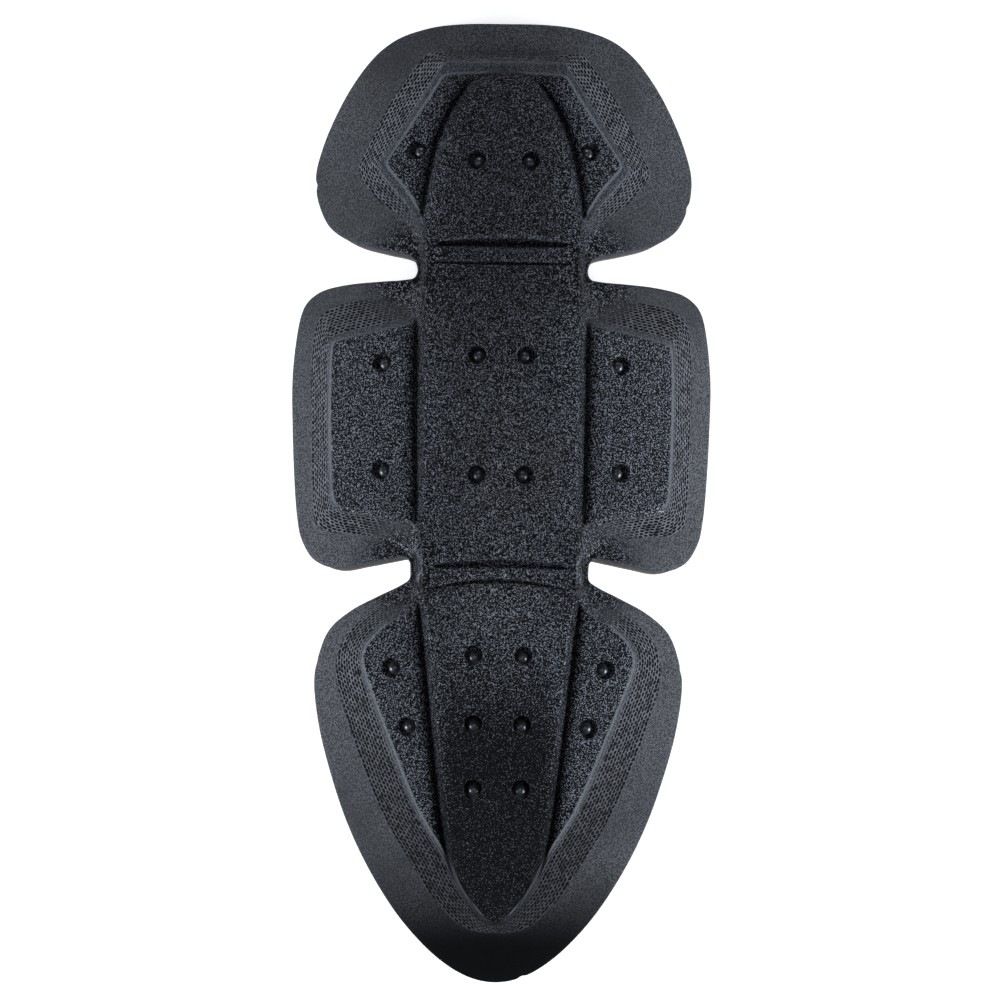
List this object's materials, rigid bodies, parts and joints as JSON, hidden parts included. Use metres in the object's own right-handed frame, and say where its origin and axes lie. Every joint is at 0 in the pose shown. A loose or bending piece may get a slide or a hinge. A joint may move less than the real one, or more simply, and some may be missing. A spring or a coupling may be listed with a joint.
{
  "type": "moulded foam elbow guard",
  "caption": "Domed foam elbow guard with lobes joined by a middle spine, raised grooved panels, blind dimples, hinge creases, a smooth brim and a thin foam lining.",
  "frame": {"origin": "on the floor that the rim rests on, under the middle of the guard's length and width", "axes": "+Y along the arm towards the shoulder, +X across it, +Z out of the point of the elbow"},
  "size_m": [0.109, 0.2495, 0.0468],
  "materials": {
    "moulded_foam": "matt near-black foam, grained on the crown, net-textured on the slopes, fine matt on the brim",
    "lining_foam": "matt dark grey-brown, fine open-cell"
  },
  "bodies": {
    "root": {"moulded_shell": "moulded_foam", "foam_lining": "lining_foam"}
  },
  "joints": []
}
